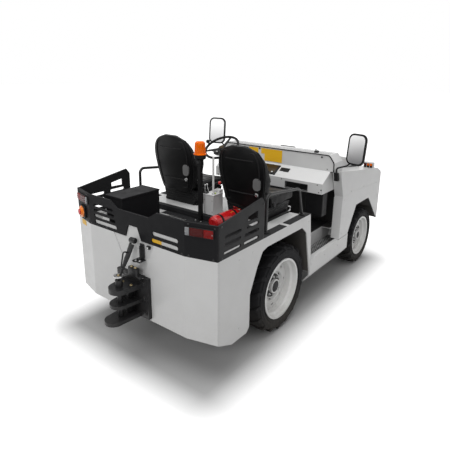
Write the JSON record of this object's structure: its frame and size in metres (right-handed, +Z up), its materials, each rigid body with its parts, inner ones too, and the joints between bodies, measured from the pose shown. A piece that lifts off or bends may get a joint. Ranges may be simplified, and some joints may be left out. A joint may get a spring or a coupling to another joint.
{
  "type": "airport baggage tug",
  "caption": "Open two-seat electric tow tractor with steered front wheels, lugged rear wheels, slotted rear band and a rear jaw coupler with a lifting tow pin.",
  "frame": {"origin": "on the ground below the middle of the vehicle's bounding box", "axes": "+Z up, +Y forward to the vehicle's front, +X to its right"},
  "size_m": [1.9192, 3.4239, 1.6362],
  "materials": {
    "body_paint": "satin light grey-white paint",
    "charcoal_paint": "matte charcoal paint",
    "frame_paint": "matte black chassis paint",
    "rim_paint": "satin white paint",
    "extinguisher_red": "gloss red paint",
    "black_plastic": "fine grained moulding",
    "seat_vinyl": "black vinyl",
    "tyre_rubber": "black tyre rubber",
    "axle_iron": "black cast housing",
    "bright_steel": "turned steel",
    "tread_plate": "diamond tread plate",
    "amber_lens": "amber lens",
    "red_lens": "red lens",
    "clear_lens": "clear lamp lens",
    "stop_yellow": "yellow guard with a red button",
    "mirror_glass": "mirror glass in a black shell"
  },
  "bodies": {
    "chassis": {"beacon": "amber_lens", "beacon_post": "charcoal_paint", "cab_floor": "charcoal_paint", "cargo_floor": "charcoal_paint", "console": "body_paint", "cowl": "body_paint", "dash": "body_paint", "deck_strips": "black_plastic", "drive_motor": "axle_iron", "driver_seat_back": "seat_vinyl", "driver_seat_cushion": "seat_vinyl", "emergency_stop": "stop_yellow", "extinguisher_cradle": "charcoal_paint", "fire_extinguisher": "extinguisher_red", "frame_rails": "frame_paint", "front_axle": "axle_iron", "front_bumper": "frame_paint", "front_fenders": "body_paint", "front_housings": "frame_paint", "headlamps": "clear_lens", "hip_rails": "charcoal_paint", "instrument_panel": "black_plastic", "lamp_pods": "body_paint", "leaf_springs": "frame_paint", "mirror_arms": "charcoal_paint", "mirrors": "mirror_glass", "nose": "body_paint", "passenger_seat_back": "seat_vinyl", "passenger_seat_cushion": "seat_vinyl", "pedals": "charcoal_paint", "rear_axle": "axle_iron", "rear_band": "charcoal_paint", "rear_deck": "body_paint", "rear_fenders": "body_paint", "rear_wall": "body_paint", "seat_bases": "black_plastic", "side_guards": "charcoal_paint", "sills": "body_paint", "steering_column": "frame_paint", "step_plates": "tread_plate", "tail_lamps": "red_lens", "tool_box": "charcoal_paint", "tow_coupler": "frame_paint", "traction_battery": "axle_iron", "wheel_housings": "frame_paint"},
    "rear_wheel_left": {"rear_tyre_left": "tyre_rubber", "rear_rim_left": "rim_paint"},
    "rear_wheel_right": {"rear_tyre_right": "tyre_rubber", "rear_rim_right": "rim_paint"},
    "front_wheel_left": {"front_tyre_left": "tyre_rubber", "front_rim_left": "rim_paint"},
    "front_wheel_right": {"front_tyre_right": "tyre_rubber", "front_rim_right": "rim_paint"},
    "steering_knuckle_left": {"knuckle_left": "frame_paint"},
    "steering_knuckle_right": {"knuckle_right": "frame_paint"},
    "steering_tie_rod": {"tie_rod": "frame_paint"},
    "steering_wheel_body": {"steering_wheel": "black_plastic"},
    "tow_pin_body": {"tow_pin": "bright_steel"},
    "tool_box_lid_body": {"tool_box_lid": "charcoal_paint"},
    "hood_body": {"hood": "body_paint"}
  },
  "joints": [
    {"name": "rear_wheel_left_spin", "type": "hinge", "parent": "chassis", "child": "rear_wheel_left", "pos_m": [-0.6, -0.457, 0.381], "axis": [1, 0, 0], "continuous": true},
    {"name": "rear_wheel_right_spin", "type": "hinge", "parent": "chassis", "child": "rear_wheel_right", "pos_m": [0.6, -0.457, 0.381], "axis": [1, 0, 0], "continuous": true},
    {"name": "steer_left", "type": "hinge", "parent": "chassis", "child": "steering_knuckle_left", "pos_m": [-0.53, 1.323, 0.327], "axis": [0, 0, 1], "range_deg": [-35, 35]},
    {"name": "steer_right", "type": "hinge", "parent": "chassis", "child": "steering_knuckle_right", "pos_m": [0.53, 1.323, 0.327], "axis": [0, 0, 1], "range_deg": [-35, 35]},
    {"name": "front_wheel_left_spin", "type": "hinge", "parent": "steering_knuckle_left", "child": "front_wheel_left", "pos_m": [-0.612, 1.323, 0.327], "axis": [1, 0, 0], "continuous": true},
    {"name": "front_wheel_right_spin", "type": "hinge", "parent": "steering_knuckle_right", "child": "front_wheel_right", "pos_m": [0.612, 1.323, 0.327], "axis": [1, 0, 0], "continuous": true},
    {"name": "tie_rod_swing", "type": "hinge", "parent": "steering_knuckle_left", "child": "steering_tie_rod", "pos_m": [-0.53, 1.183, 0.299], "axis": [0, 0, 1], "range_deg": [-35, 35]},
    {"name": "steering_wheel_turn", "type": "hinge", "parent": "chassis", "child": "steering_wheel_body", "pos_m": [-0.4, 0.098, 1.4], "axis": [0, -0.5, 0.866], "range_deg": [-490, 490]},
    {"name": "tow_pin_lift", "type": "slide", "parent": "chassis", "child": "tow_pin_body", "axis": [0, 0, 1], "range_m": [0, 0.085]},
    {"name": "tool_box_lid_hinge", "type": "hinge", "parent": "chassis", "child": "tool_box_lid_body", "pos_m": [-0.429, -1.149, 1.1893], "axis": [0, -1, 0], "range_deg": [0, 100]},
    {"name": "hood_hinge", "type": "hinge", "parent": "chassis", "child": "hood_body", "pos_m": [0, 1.53, 1.122], "axis": [-1, 0, 0], "range_deg": [0, 65]}
  ],
  "couplings": [
    {"joint": "steer_right", "follows": "steer_left", "ratio": 1},
    {"joint": "tie_rod_swing", "follows": "steer_left", "ratio": -1},
    {"joint": "steering_wheel_turn", "follows": "steer_left", "ratio": 14}
  ]
}
